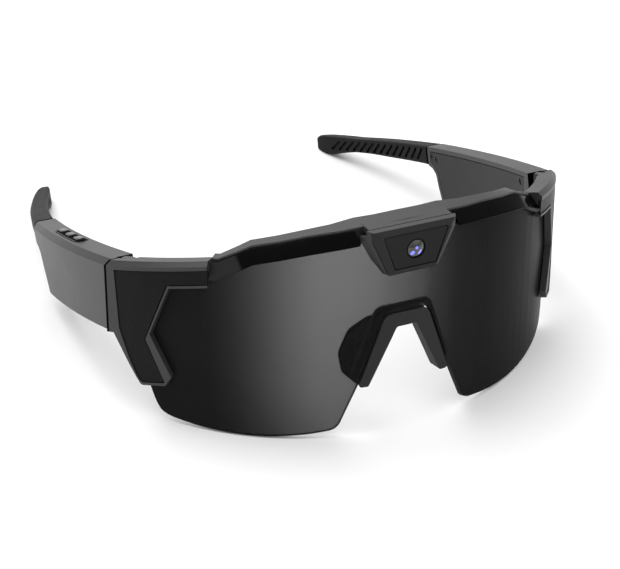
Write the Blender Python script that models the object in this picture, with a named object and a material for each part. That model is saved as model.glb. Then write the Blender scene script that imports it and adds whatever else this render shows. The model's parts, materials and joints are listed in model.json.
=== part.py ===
"""Camera sports glasses: a one-piece shield lens under a brow bar, with folding temples.

Every outline is in millimetres, and meshes are stored in metres. Three sets of axes are used:
  wearer's axes    x to the wearer's left, y back along the head, z up, zero at the hinge seams
  flat front       a front piece before it is wrapped round the lens cylinder: arc, depth, height
  flat temple      a temple piece before it takes its plan curve: across, along, height
The left temple is at +X. The finished glasses lean back onto the lens and the temple tips.
"""
import math

import bmesh
import bpy
from mathutils import Matrix, Vector

MM = 0.001

# Driving dimensions.
LENS_RADIUS = 82.0          # outer face of the lens cylinder
LENS_THICKNESS = 1.6
LENS_AXIS_Y = 39.5          # how far the lens cylinder's axis lies behind the seams
SKIN_RADIUS = 84.3          # outer face of the side frames
INNER_RADIUS = 78.4         # inner face of the side frames
TOP_SLOPE = 0.245           # the fall of the top faces towards the ears, per unit of length
SEAM_GAP = 0.2              # half the gap between a side frame and its temple
GAP = 0.3                   # between neighbouring pieces

HINGE_X = 67.8
HINGE_Y = -0.9
HINGE_Z = 0.2
KNUCKLE_RADIUS = 1.7
KNUCKLE_CLEARANCE = 0.35
BORE_RADIUS = 0.82
PIN_RADIUS = 0.72
KNUCKLE_HEIGHTS = ((-3.4, -0.1), (-8.6, -3.7), (-11.6, -8.9))   # front, temple, front

TEMPLE_WIDTH = 8.6          # at the hinge; it narrows towards the tip
TEMPLE_NARROWING = 0.0022   # of its width, per millimetre
TEMPLE_TUCK = 0.0001        # the same for its lower edge, per millimetre down
TEMPLE_HEIGHT = 21.3
TEMPLE_LENGTH = 68.4        # from the seam to the rubber tip
WALL = 1.2
TIP_LENGTH = 54.6
TIP_WIDTH = 8.0             # before the temple's narrowing

REST_TILT = -5.8            # degrees about x
REST_BACK = -34.7
REST_LIFT = 46.05

SLOPE_ANGLE = math.atan(TOP_SLOPE)


# ---------------------------------------------------------------- outlines and solids


def rounded(corners, steps=4):
    """Gives an outline's points, with an arc at each corner that has a radius as third value."""
    points = []
    count = len(corners)
    for index, corner in enumerate(corners):
        here = Vector(corner[:2])
        radius = corner[2] if len(corner) > 2 else 0
        if not radius:
            points.append(tuple(here))
            continue
        before = (Vector(corners[index - 1][:2]) - here).normalized()
        after = (Vector(corners[(index + 1) % count][:2]) - here).normalized()
        half = before.angle(after) / 2
        centre = here + (before + after).normalized() * radius / math.sin(half)
        start = here + before * radius / math.tan(half) - centre
        end = here + after * radius / math.tan(half) - centre
        sweep = start.angle_signed(end)
        for step in range(steps + 1):
            turned = start.copy()
            turned.rotate(Matrix.Rotation(-sweep * step / steps, 2))
            points.append(tuple(centre + turned))
    return points


def eased(corners):
    """Cuts the corners of an open line twice, which leaves a smooth curve with the same ends."""
    for _ in range(2):
        line = [corners[0]]
        for (x, z), (next_x, next_z) in zip(corners, corners[1:]):
            line.append((0.75 * x + 0.25 * next_x, 0.75 * z + 0.25 * next_z))
            line.append((0.25 * x + 0.75 * next_x, 0.25 * z + 0.75 * next_z))
        line.append(corners[-1])
        corners = line
    return corners


def prism(points, axis, low, high):
    """Extrudes an outline along an axis; its two values are the other two axes in order."""
    solid = bmesh.new()
    slot = "xyz".index(axis)
    verts = []
    for point in points:
        place = list(point)
        place.insert(slot, low)
        verts.append(solid.verts.new(place))
    face = solid.faces.new(verts)
    grown = bmesh.ops.extrude_face_region(solid, geom=[face])
    moved = [item for item in grown["geom"] if isinstance(item, bmesh.types.BMVert)]
    offset = Vector((0, 0, 0))
    offset[slot] = high - low
    bmesh.ops.translate(solid, vec=offset, verts=moved)
    bmesh.ops.recalc_face_normals(solid, faces=solid.faces)
    return solid


def box(low, high):
    """Gives a rectangular block between two corners."""
    solid = bmesh.new()
    bmesh.ops.create_cube(solid, size=1)
    size = Vector(high) - Vector(low)
    bmesh.ops.scale(solid, vec=size, verts=solid.verts)
    bmesh.ops.translate(solid, vec=Vector(low) + size / 2, verts=solid.verts)
    return solid


def rod(radius, axis, centre, low, high, sides=20, end_radius=None):
    """Gives a cylinder or cone along x, y or z; centre is its place on the other two axes."""
    solid = bmesh.new()
    top = radius if end_radius is None else end_radius
    bmesh.ops.create_cone(
        solid, cap_ends=True, segments=sides, radius1=radius, radius2=top, depth=high - low)
    turns = {"x": Matrix.Rotation(math.pi / 2, 4, "Y"),
             "y": Matrix.Rotation(-math.pi / 2, 4, "X"), "z": Matrix.Identity(4)}
    bmesh.ops.transform(solid, matrix=turns[axis], verts=solid.verts)
    place = list(centre)
    place.insert("xyz".index(axis), (low + high) / 2)
    bmesh.ops.translate(solid, vec=place, verts=solid.verts)
    return solid


def loft(rings):
    """Joins rings of equal count into a closed solid, with a flat cap at each end."""
    solid = bmesh.new()
    made = [[solid.verts.new(point) for point in ring] for ring in rings]
    count = len(made[0])
    for near, far in zip(made, made[1:]):
        for index in range(count):
            other = (index + 1) % count
            solid.faces.new((near[index], near[other], far[other], far[index]))
    solid.faces.new(made[0])
    solid.faces.new(made[-1])
    bmesh.ops.recalc_face_normals(solid, faces=solid.faces)
    return solid


def boolean(solid, tool, operation):
    """Gives a solid joined to or cut by another, and frees both."""
    pieces = []
    for mesh_source in (solid, tool):
        mesh = bpy.data.meshes.new("work")
        mesh_source.to_mesh(mesh)
        mesh_source.free()
        piece = bpy.data.objects.new("work", mesh)
        bpy.context.scene.collection.objects.link(piece)
        pieces.append(piece)
    step = pieces[0].modifiers.new("step", "BOOLEAN")
    step.operation = operation
    step.solver = "EXACT"
    step.object = pieces[1]
    bpy.context.view_layer.update()
    done = pieces[0].evaluated_get(bpy.context.evaluated_depsgraph_get())
    result = bmesh.new()
    result.from_mesh(done.to_mesh())
    done.to_mesh_clear()
    for piece in pieces:
        mesh = piece.data
        bpy.data.objects.remove(piece)
        bpy.data.meshes.remove(mesh)
    bmesh.ops.remove_doubles(result, verts=result.verts, dist=0.001)
    return result


def cut(solid, *tools):
    """Takes each tool out of a solid."""
    for tool in tools:
        solid = boolean(solid, tool, "DIFFERENCE")
    return solid


def join(solid, *others):
    """Adds each other solid to a solid."""
    for other in others:
        solid = boolean(solid, other, "UNION")
    return solid


def chamfer(solid, width, wanted, segments=1):
    """Bevels the edges whose middle point passes the test."""
    edges = []
    for edge in solid.edges:
        middle = (edge.verts[0].co + edge.verts[1].co) / 2
        along = (edge.verts[1].co - edge.verts[0].co).normalized()
        if wanted(middle, along):
            edges.append(edge)
    bmesh.ops.bevel(
        solid, geom=edges, offset=width, offset_type="OFFSET", segments=segments,
        profile=0.5, affect="EDGES", clamp_overlap=True)
    return solid


def slice_up(solid, axis, low, high, step):
    """Cuts a solid's faces in strips across an axis, so that it can bend."""
    slot = "xyz".index(axis)
    count = max(1, round((high - low) / step))
    normal = Vector((0, 0, 0))
    normal[slot] = 1
    for index in range(1, count):
        place = Vector((0, 0, 0))
        place[slot] = low + (high - low) * index / count
        geometry = solid.verts[:] + solid.edges[:] + solid.faces[:]
        bmesh.ops.bisect_plane(solid, geom=geometry, plane_co=place, plane_no=normal, dist=0.0005)
    return solid


def trim(solid, place, normal):
    """Cuts off what lies beyond a plane, and closes the cut."""
    geometry = solid.verts[:] + solid.edges[:] + solid.faces[:]
    bmesh.ops.bisect_plane(
        solid, geom=geometry, plane_co=place, plane_no=normal, clear_outer=True, dist=0.0005)
    rims = [edge for edge in solid.edges if edge.is_boundary]
    bmesh.ops.contextual_create(solid, geom=rims)
    bmesh.ops.recalc_face_normals(solid, faces=solid.faces)
    return solid


def for_side(solid, side):
    """Gives a left-hand solid as it is, or flipped for the right side."""
    if side == "right":
        bmesh.ops.scale(solid, vec=(-1, 1, 1), verts=solid.verts)
        bmesh.ops.reverse_faces(solid, faces=solid.faces)
    return solid


# ---------------------------------------------------------------- bending


def arc(degrees):
    """Gives the arc length on the lens for an angle from the middle."""
    return math.radians(degrees) * LENS_RADIUS


def by_angle(corners):
    """Turns outline corners from (degrees, height) to (arc, height), keeping any radius."""
    return [(arc(corner[0]), *corner[1:]) for corner in corners]


def depth(radius):
    """Gives the flat depth of a radius on the lens cylinder."""
    return LENS_RADIUS - radius


def wrap_front(solid, step=4.5, sloped=True):
    """Wraps a flat front piece round the lens cylinder, its heights following the top's slope."""
    places = [vert.co.x for vert in solid.verts]
    slice_up(solid, "x", min(places), max(places), step)
    for vert in solid.verts:
        angle = vert.co.x / LENS_RADIUS
        radius = LENS_RADIUS - vert.co.y
        y = LENS_AXIS_Y - radius * math.cos(angle)
        drop = TOP_SLOPE * y if sloped else 0
        vert.co = (radius * math.sin(angle), y, vert.co.z - drop)
    return solid


def temple_inner(y):
    """Gives how far the temple's inner face lies from the middle plane."""
    return 67.6 - (y - 40) ** 2 / 600


def tip_inner(y):
    """Gives how far the rubber tip's inner face lies from the middle plane."""
    beyond = y - TEMPLE_LENGTH
    return temple_inner(TEMPLE_LENGTH) - 0.17 * beyond - 0.0027 * beyond ** 2


def bend_temple(solid, step=8.0):
    """Gives a flat temple piece its plan curve, about the hinge."""
    places = [vert.co.y for vert in solid.verts]
    slice_up(solid, "y", min(places), max(places), step)
    for vert in solid.verts:
        if vert.co.y <= TEMPLE_LENGTH:
            vert.co.x *= 1 - (TEMPLE_NARROWING - TEMPLE_TUCK * vert.co.z) * vert.co.y
            vert.co.x += temple_inner(vert.co.y) - HINGE_X
        else:
            vert.co.x *= 1 - (TEMPLE_NARROWING - TEMPLE_TUCK * vert.co.z) * TEMPLE_LENGTH
            vert.co.x += tip_inner(vert.co.y) - HINGE_X
        vert.co.y -= HINGE_Y
    return solid


def temple_axes():
    """Gives the matrix from the temple's axes, centred on the hinge, to the wearer's axes."""
    place = Matrix.Translation((HINGE_X, HINGE_Y, HINGE_Z))
    return place @ Matrix.Rotation(-SLOPE_ANGLE, 4, "X")


# ---------------------------------------------------------------- materials and objects


def material(name, colour, roughness, metallic=0.0, alpha=1.0):
    """Makes a plain Principled material."""
    made = bpy.data.materials.new(name)
    made.use_nodes = True
    shader = made.node_tree.nodes["Principled BSDF"]
    shader.inputs["Base Color"].default_value = (*colour, 1)
    shader.inputs["Roughness"].default_value = roughness
    shader.inputs["Metallic"].default_value = metallic
    shader.inputs["Alpha"].default_value = alpha
    made.diffuse_color = (*colour, alpha)
    return made


def publish(name, solid, finish, parent, group, origin=(0, 0, 0)):
    """Makes the named object from a solid, about its own origin."""
    bmesh.ops.translate(solid, vec=-Vector(origin), verts=solid.verts)
    bmesh.ops.scale(solid, vec=(MM, MM, MM), verts=solid.verts)
    bmesh.ops.triangulate(solid, faces=solid.faces)
    mesh = bpy.data.meshes.new(name)
    solid.to_mesh(mesh)
    solid.free()
    mesh.materials.append(finish)
    mesh.shade_smooth()
    mesh.set_sharp_from_angle(angle=math.radians(30))
    made = bpy.data.objects.new(name, mesh)
    group.objects.link(made)
    made.parent = parent
    made.location = Vector(origin) * MM
    return made


def empty(name, parent, location, rotation, group):
    """Makes an empty that pieces hang from."""
    made = bpy.data.objects.new(name, None)
    group.objects.link(made)
    made.parent = parent
    made.location = Vector(location) * MM
    made.rotation_euler = rotation
    return made


# ---------------------------------------------------------------- front: lens and brow

NOTCH_TOP = (5.0, -22.8, 3.4)
NOTCH_SIDE = (10.4, -44.1)


def shield_lens():
    """The one-piece lens, notched for the nose below and for the camera above."""
    lower_edge = eased([
        (53.6, -12.0), (54.5, -22.0), (53.7, -36.0), (52.9, -40.0), (51.7, -45.0),
        (50.2, -48.6), (44.5, -51.7), (37.5, -54.6), (29.5, -56.9), (21.5, -57.7),
        (16.2, -57.4)])
    half = [
        (5.6, 0.4), (21.3, 0.2), (29.8, -0.6), (35.9, -4.7), (39.3, -4.9), (51.0, -5.2, 2),
        *lower_edge, (14.5, -56.9, 3.5), NOTCH_SIDE, NOTCH_TOP]
    left = half
    right = [(-corner[0], *corner[1:]) for corner in reversed(half)]
    camera_notch = [(-5.6, 0.4), (-9.6, 0.4), (-4.9, -9.0), (4.9, -9.0), (9.6, 0.4)]
    outline = rounded(by_angle(camera_notch[1:] + left[1:] + right[:-1]))
    flat = prism(outline, "y", 0, LENS_THICKNESS)
    return wrap_front(flat)


TOP_LINE = ((0, 15.1), (13, 14.9), (28, 13.4), (41.8, 10.5), (49.6, 5.8), (60, 5.2))
FRONT_LOW_LINE = ((0, 10.8), (16, 10.6), (30, 8.9), (42.2, 6.0), (48.6, 0.9), (60, -0.6))
REAR_RADIUS = ((0, 73.8), (13, 74.2), (25, 76.5), (41.8, 76.8), (51, 77.2), (60, 77.2))
BROW_RADIUS = 80.4
BROW_STATIONS = (0, 7, 13, 20, 28, 35, 41.8, 45.7, 49.6, 50.9)


def read_line(line, x):
    """Reads a line of (distance from the middle, value) corners at a distance."""
    x = abs(x)
    for (near, first), (far, last) in zip(line, line[1:]):
        if x <= far:
            return first + (last - first) * (x - near) / (far - near)
    return line[-1][1]


def brow_ring(x, section):
    """Places a brow section of (radius, height) corners across the brow at a distance x."""
    turn = min(max((abs(x) - 20) / 30.9, 0), 1)
    ring = []
    for radius, height in section:
        across = x * (1 + turn * (radius / BROW_RADIUS - 1))
        y = LENS_AXIS_Y - math.sqrt(radius ** 2 - across ** 2)
        ring.append((across, y, height))
    return ring


def brow_stations(first):
    """Gives the left half's stations from a first distance outwards."""
    return [first] + [x for x in BROW_STATIONS if x > first + 1]


def both_sides(stations):
    """Gives stations across the whole brow from those of the left half."""
    return [-x for x in reversed(stations)] + [x for x in stations if x > 0]


def brow_section(x):
    """The top plate, with a wall behind the lens that hangs from it."""
    top = read_line(TOP_LINE, x)
    low = read_line(FRONT_LOW_LINE, x) - 1.2
    rear = read_line(REAR_RADIUS, x)
    return [(80.4, top), (rear, top), (rear, top - 1.5), (78.5, top - 1.5), (78.5, low),
            (80.0, low), (80.0, top - 1.0), (80.4, top - 0.6)]


def cover_section(x):
    """The rear wall and floor of the brow's cable channel."""
    top = read_line(TOP_LINE, x) - 1.9
    low = read_line(FRONT_LOW_LINE, x) - 1.2
    rear = read_line(REAR_RADIUS, x) + 0.1
    return [(rear, top), (rear + 1.1, top), (rear + 1.1, low + 1.0), (78.2, low + 1.0),
            (78.2, low), (rear, low)]


def flex_section(x):
    """A ribbon on edge in the brow's cable channel."""
    top = read_line(TOP_LINE, x) - 2.3
    rear = read_line(REAR_RADIUS, x) + 1.4
    return [(rear, top), (rear + 0.25, top), (rear + 0.25, top - 1.4), (rear, top - 1.4)]


def band_section(x):
    """The glossy strip that slopes down in front of the lens."""
    top = read_line(TOP_LINE, x)
    low = read_line(FRONT_LOW_LINE, x)
    return [(80.75, top - 0.75), (84.0, low + 0.5), (84.0, low), (83.0, low),
            (80.35, top - 2.1)]


CAMERA_OUTLINE = [(-12.2, 15.0), (12.2, 15.0), (12.2, 12.4), (7.2, 1.2), (-7.2, 1.2),
                  (-12.2, 12.4)]
CAMERA_REAR_OUTLINE = [(-16.5, 15.0), (16.5, 15.0), (16.5, 11.0), (9.2, 0.2), (-9.2, 0.2),
                       (-16.5, 11.0)]
CAMERA_CORE = [(-10.9, 12.9), (10.9, 12.9), (6.3, 2.0), (-6.3, 2.0)]
CAMERA_BORE = [(-9.8, 11.9), (9.8, 11.9), (5.6, 3.0), (-5.6, 3.0)]
FACEPLATE = [(-10.0, 13.3, 0.5), (10.0, 13.3, 0.5), (6.3, 3.1, 0.5), (-6.3, 3.1, 0.5)]
CAMERA_Z = 8.3
CAMERA_FRONT = -46.6
CAMERA_SEAM = -43.2
CAMERA_GAP = 0.15


def grown(outline, amount):
    """Moves each corner of a convex outline away from the outline's middle."""
    middle = Vector((0, sum(corner[1] for corner in outline) / len(outline)))
    result = []
    for corner in outline:
        away = Vector(corner[:2]) - middle
        moved = Vector((away.x + math.copysign(amount, away.x),
                        away.y + math.copysign(amount, away.y))) + middle
        result.append((moved.x, moved.y, *corner[2:]))
    return result


def brow_frame():
    """The structural bar over the lens, with a tongue that reaches over the camera."""
    stations = both_sides(BROW_STATIONS)
    bar = loft([brow_ring(x, brow_section(x)) for x in stations])
    tongue = box((-12.9, CAMERA_SEAM + CAMERA_GAP, 13.3), (12.9, -38.0, 15.0))
    bar = join(bar, tongue)
    return cut(bar, prism(grown(CAMERA_CORE, 0.35), "y", -50, -30))


def brow_rear_cover():
    """The cover that closes the brow's cable channel from behind."""
    stations = both_sides(BROW_STATIONS)
    cover = loft([brow_ring(x, cover_section(x)) for x in stations])
    return cut(cover, prism(grown(CAMERA_CORE, 0.35), "y", -50, -35.75))


def brow_band():
    """The left glossy strip, from the camera to the end piece."""
    return loft([brow_ring(x, band_section(x)) for x in brow_stations(15.3)])


def camera_flex():
    """The ribbon that joins the camera to both temples."""
    stations = both_sides([x for x in BROW_STATIONS if x < 42])
    return loft([brow_ring(x, flex_section(x)) for x in stations])


# ---------------------------------------------------------------- front: camera


def camera_bezel():
    """The bevelled block in front of the lens that frames the camera."""
    front = [(x, CAMERA_FRONT, z) for x, z in CAMERA_OUTLINE]
    rear = [(x, -38, z) for x, z in CAMERA_REAR_OUTLINE]
    block = loft([front, rear])
    chamfer(block, 1.2, lambda middle, along: middle.y < CAMERA_FRONT + 0.1)
    lens_room = rod(LENS_RADIUS + GAP, "z", (0, LENS_AXIS_Y), -10, TOP_LINE[0][1] - 1.9, 180)
    brow_room = box((-20, CAMERA_SEAM - CAMERA_GAP, TOP_LINE[0][1] - 2.0), (20, -30, 20))
    seat = prism(rounded(grown(FACEPLATE, 0.2)), "y", CAMERA_FRONT - 1, CAMERA_FRONT + 1.1)
    bore = prism(CAMERA_BORE, "y", CAMERA_FRONT + 0.5, -38)
    cup_room = prism(grown(CAMERA_CORE, GAP), "y", CAMERA_SEAM - CAMERA_GAP, -30)
    return cut(block, lens_room, brow_room, seat, bore, cup_room)


def camera_faceplate():
    """The flat plate round the camera's glass."""
    plate = prism(rounded(FACEPLATE), "y", CAMERA_FRONT + 0.15, CAMERA_FRONT + 0.95)
    return cut(plate, rod(2.9, "y", (0, CAMERA_Z), -48, -44, 28))


def camera_housing():
    """The cup behind the bezel that holds the camera, open to the front."""
    cup = prism(CAMERA_CORE, "y", CAMERA_SEAM + CAMERA_GAP, -36.2)
    return cut(cup, prism(CAMERA_BORE, "y", -50, -37.3))


def camera_barrel():
    """The stepped tube that holds the camera's glass."""
    tube = rod(2.6, "y", (0, CAMERA_Z), -46.2, -44.4, 28)
    tube = join(tube, rod(3.6, "y", (0, CAMERA_Z), -45.0, -40.6, 28))
    return cut(tube, rod(1.7, "y", (0, CAMERA_Z), -47, -42, 20))


def camera_glass():
    """The domed front glass, seated in the faceplate's hole."""
    rings = []
    for radius, y in ((0.9, -47.22), (1.7, -46.98), (2.3, -46.6), (2.5, -46.4)):
        rings.append([(radius * math.cos(turn), y, CAMERA_Z + radius * math.sin(turn))
                      for turn in (math.tau * step / 28 for step in range(28))])
    return loft(rings)


def camera_board():
    """The small board behind the barrel, with its sensor."""
    board = prism([(-8.3, 11.2), (8.3, 11.2), (5.6, 4.0), (-5.6, 4.0)], "y", -39.4, -38.6)
    sensor = box((-2.8, -40.3, CAMERA_Z - 2.8), (2.8, -39.2, CAMERA_Z + 2.8))
    return join(board, sensor)


# ---------------------------------------------------------------- front: side frames

PANEL_FLOOR = 83.2
SKIN_OUTLINE = [
    (39.5, 0), (66.0, 0), (66.0, -22.3), (60.2, -22.5), (56.7, -32.4), (55.0, -36.8, 2.5),
    (54.1, -38.9, 1.5), (48.7, -38.9, 0.6), (47.4, -36.0), (51.8, -22.3), (47.3, -7.9),
    (39.5, -7.9)]
BODY_OUTLINE = [
    (39.5, 0), (66.0, 0), (66.0, -22.3), (60.2, -22.5), (56.7, -32.4), (55.0, -36.8, 2.0),
    (54.4, -38.5), (54.1, -38.5), (54.1, -36.0), (54.95, -22.0), (54.0, -11.5),
    (51.6, -4.4), (39.5, -4.4)]
PANEL_OUTLINE = [
    (39.5, -2.8), (59.3, -2.8), (58.6, -21.0), (56.6, -29.8), (54.75, -36.0, 2.5),
    (53.9, -37.8, 1.5), (49.05, -37.8, 0.5), (53.05, -24.0), (47.85, -6.9), (39.5, -6.9)]
POCKET_OUTLINE = [
    (38.5, -2.6), (59.5, -2.6), (58.8, -21.0), (56.8, -29.9), (54.95, -36.1, 2.5),
    (54.0, -38.05, 1.5), (48.75, -38.05, 0.5), (52.75, -24.0), (47.55, -7.15), (38.5, -7.15)]


def side_frame():
    """The left end piece: a top bar, a rim round the side panel and two hinge knuckles."""
    skin_in = depth(LENS_RADIUS + GAP)
    skin_out = depth(SKIN_RADIUS)
    skin = prism(rounded(by_angle(SKIN_OUTLINE)), "y", skin_out, skin_in)
    body = prism(rounded(by_angle(BODY_OUTLINE)), "y", skin_in - 0.6, depth(INNER_RADIUS))
    frame = join(skin, body)

    def outer_top(middle, along):
        return middle.z > -0.01 and middle.y < skin_out + 0.01 and abs(along.x) > 0.9

    chamfer(frame, 1.9, outer_top)
    pocket = prism(rounded(by_angle(POCKET_OUTLINE)), "y", skin_out - 1, depth(PANEL_FLOOR))
    frame = cut(frame, pocket)
    wrap_front(frame)
    bmesh.ops.triangulate(frame, faces=frame.faces)
    trim(frame, (0, -SEAM_GAP, 0), (0, 1, 0))

    axes = temple_axes()
    notch = hinge_notch()
    knuckles = []
    for low, high in KNUCKLE_HEIGHTS[::2]:
        knuckle = rod(KNUCKLE_RADIUS, "z", (0, 0), low, high)
        knuckles.append(join(knuckle, box((-1.3, -3.1, low + 0.1), (1.2, 0.3, high - 0.1))))
    bore = rod(BORE_RADIUS, "z", (0, 0), -19, 2)
    head = rod(1.3, "z", (0, 0), -0.95, 2)
    for tool in (*notch, bore, head, *knuckles):
        bmesh.ops.transform(tool, matrix=axes, verts=tool.verts)
    frame = cut(frame, *notch)
    frame = join(frame, *knuckles)
    return cut(frame, bore, head)


def hinge_notch():
    """Gives the cutters that clear the knuckles and the temple's front corner as it folds."""
    reach = KNUCKLE_RADIUS + KNUCKLE_CLEARANCE
    low = KNUCKLE_HEIGHTS[2][0] - GAP
    return [rod(reach, "z", (0, 0), low, 5, 24), box((-9, -reach, low), (0, 12, 5)),
            box((-9, 0, low), (reach, 12, 5)), box((-9, -3.7, -30), (-1.7, 12, 5)),
            box((-9, -1.0, -30), (0.7, 12, low + 1))]


def side_panel():
    """The left glossy inset panel."""
    panel = prism(rounded(by_angle(PANEL_OUTLINE)), "y", depth(84.05), depth(PANEL_FLOOR + 0.2))
    return wrap_front(panel)


def hinge_pin():
    """The left hinge screw, on the temple's axes."""
    pin = rod(PIN_RADIUS, "z", (0, 0), KNUCKLE_HEIGHTS[2][0], -0.5)
    pin = join(pin, rod(1.15, "z", (0, 0), -0.8, -0.1))
    return cut(pin, box((-1.6, -0.18, -0.4), (1.6, 0.18, 1)))


# ---------------------------------------------------------------- front: nose piece


def nose_bracket():
    """The hard clip behind the lens that follows the nose notch."""
    inner = [(14.3, -32.5), (7.3, -12.5)]
    outer = [(8.8, -11.2), (16.2, -31.8)]
    half = inner + outer
    outline = [half[0], (*half[1], 3.6), (-half[1][0], half[1][1], 3.6),
               (-half[0][0], half[0][1]),
               (-half[3][0], half[3][1]), (-half[2][0], half[2][1], 3.2),
               (half[2][0], half[2][1], 3.2), half[3]]
    return wrap_front(prism(rounded(outline), "y", 1.9, 3.2), sloped=False)


def nose_pad():
    """The rubber nose piece: an inverted V in the notch, with two wings behind it."""
    outline = [(14.7, -35.0, 0.8), (11.6, -35.0, 0.8), (3.1, -17.3, 1.0), (-3.1, -17.3, 1.0),
               (-11.6, -35.0, 0.8), (-14.7, -35.0, 0.8), (-6.7, -12.9, 3.3),
               (6.7, -12.9, 3.3)]
    front = prism(rounded(outline), "y", 0.2, 4.6)
    wrap_front(front, sloped=False)
    wing_outline = rounded([(-1.5, -15.0), (3.6, -16.4, 4), (8.0, -21.6, 4),
                            (8.0, -28.6, 4), (4.4, -33.2, 4), (-1.5, -35.0)])
    for side in (1, -1):
        wing = prism(wing_outline, "x", 0, 1.8)
        slice_up(wing, "y", -1.5, 8.0, 3)
        for vert in wing.verts:
            thick, back, height = vert.co
            across = 4.2 + 0.46 * (-16 - height) + 0.5 * back + thick
            vert.co = (side * across, -37.0 + 0.86 * back, height)
        bmesh.ops.recalc_face_normals(wing, faces=wing.faces)
        front = join(front, wing)
    return front


# ---------------------------------------------------------------- temples

SHELL_OUTLINE = [
    (-2, 0), (TEMPLE_LENGTH, 0), (TEMPLE_LENGTH, -6.5), (66.4, -7.2, 1.5), (64.4, -9.2, 2.5),
    (63.5, -13.3, 3), (60.9, -TEMPLE_HEIGHT, 1.5), (-2, -TEMPLE_HEIGHT)]
CAVITY_OUTLINE = [
    (4.2, -1.5), (TEMPLE_LENGTH - 1.3, -1.5), (TEMPLE_LENGTH - 1.3, -5.2),
    (65.2, -6.4), (63.2, -8.6), (62.3, -13.0), (59.7, -20.1), (8.6, -20.1)]
COVER_OUTLINE = [
    (4.5, -1.75), (TEMPLE_LENGTH - 1.55, -1.75), (TEMPLE_LENGTH - 1.55, -5.1),
    (65.0, -6.25), (62.95, -8.45), (62.05, -12.9), (59.45, -19.85), (8.75, -19.85)]
SCREW_PLACES = ((65.5, -3.4, 0.9), (63.1, -3.9, 0.9), (7.0, -3.5, 0.9))   # y, z, radius
COVER_THICKNESS = 1.2


def temple_shell():
    """The left temple's outer shell, open on its inner side, with the middle knuckle."""
    shell = prism(rounded(SHELL_OUTLINE), "x", 0, TEMPLE_WIDTH)

    def outer_top(middle, along):
        return middle.z > -0.01 and middle.x > TEMPLE_WIDTH - 0.01 and abs(along.y) > 0.9

    def outer_low(middle, along):
        low = middle.z < 0.01 - TEMPLE_HEIGHT
        return low and middle.x > TEMPLE_WIDTH - 0.01 and abs(along.y) > 0.9

    chamfer(shell, 1.7, outer_top)
    chamfer(shell, 0.6, outer_low)
    shell = cut(shell, prism(CAVITY_OUTLINE, "x", -1, TEMPLE_WIDTH - WALL - 0.4))
    for y, z, radius in SCREW_PLACES[1:]:
        shell = join(shell, rod(radius + 0.4, "x", (y, z), 1.6, TEMPLE_WIDTH - 1, 12))
        shell = cut(shell, rod(radius - 0.2, "x", (y, z), 0.5, 5.4, 12))
    core_slot = box((1.9, 65, -4.7), (5.5, 70, -1.9))
    shell = cut(shell, core_slot)
    bend_temple(shell)
    bmesh.ops.triangulate(shell, faces=shell.faces)
    seam_normal = Vector((0, -math.cos(SLOPE_ANGLE), -math.sin(SLOPE_ANGLE)))
    seam_place = Vector((0, -HINGE_Y, -HINGE_Z)) - seam_normal * SEAM_GAP
    trim(shell, seam_place, seam_normal)
    reach = KNUCKLE_RADIUS + KNUCKLE_CLEARANCE
    shell = cut(shell, box((-9, -9, -40), (reach + SEAM_GAP, reach, 5)))
    low, high = KNUCKLE_HEIGHTS[1]
    knuckle = rod(KNUCKLE_RADIUS, "z", (0, 0), low, high)
    web = box((-1.3, -0.3, low + 0.1), (1.3, 5.6, high - 0.1))
    shell = join(shell, join(knuckle, web))
    return cut(shell, rod(BORE_RADIUS, "z", (0, 0), -19, 2))


def temple_cover():
    """The left temple's inner cover, with its screw holes."""
    cover = prism(COVER_OUTLINE, "x", 0, COVER_THICKNESS)
    for y, z, radius in SCREW_PLACES:
        cover = cut(cover, rod(radius + 0.15, "x", (y, z), -1, 3, 16))
    return bend_temple(cover)


def cover_screw(y, z, radius):
    """A cross-head screw that holds the left inner cover."""
    screw = rod(radius, "x", (y, z), 0.25, 1.1, 16)
    screw = join(screw, rod(radius - 0.35, "x", (y, z), 0.9, 4.6, 12))
    long, wide = radius * 0.75, radius * 0.14
    screw = cut(screw, box((-1, y - long, z - wide), (0.6, y + long, z + wide)),
                box((-1, y - wide, z - long), (0.6, y + wide, z + long)))
    return bend_temple(screw)


def tip_core():
    """The hard tongue inside the left rubber tip, held by the rearmost cover screw."""
    core = box((2.3, 64.5, -4.4), (5.1, 96, -2.3))
    y, z, radius = SCREW_PLACES[0]
    core = cut(core, rod(radius - 0.2, "x", (y, z), 0, 6, 12))
    return bend_temple(core, 5)


def tip_ring(y, width, top, bottom, taper=1.0):
    """A ring of the rubber tip, its corners cut at 45 degrees."""
    inner = (TIP_WIDTH - width) / 2
    outer = inner + width
    edge = 1.2 * taper
    bevel = 0.7 * taper
    return [(inner + bevel, y, top), (outer - edge, y, top), (outer, y, top - edge),
            (outer, y, bottom + edge), (outer - edge, y, bottom), (inner + bevel, y, bottom),
            (inner, y, bottom + bevel), (inner, y, top - bevel)]


TIP_STATIONS = (
    (0.0, 8.0, 0.0, -6.5, 1.0), (3.0, 7.9, 0.0, -6.3, 1.0), (12.0, 7.6, 0.0, -6.0, 1.0),
    (21.0, 7.3, 0.0, -5.7, 1.0), (30.0, 7.0, -0.1, -5.2, 1.0), (37.0, 6.8, -0.2, -5.1, 1.0),
    (42.0, 6.7, 0.0, -5.6, 1.0), (46.5, 6.5, 0.1, -6.35, 1.0), (50.5, 5.9, 0.2, -6.4, 1.0),
    (53.3, 4.8, 0.1, -5.5, 1.0), (TIP_LENGTH, 3.5, -0.5, -4.95, 0.8))


def temple_tip():
    """The left rubber tip, with the socket for its core."""
    rings = []
    for back, width, top, bottom, taper in TIP_STATIONS:
        y = TEMPLE_LENGTH + GAP + back
        rings.append(tip_ring(y, width, top, bottom, taper))
    tip = loft(rings)
    tip = cut(tip, box((1.95, 60, -4.75), (5.45, 96.5, -1.95)))
    return bend_temple(tip, 5)


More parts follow.
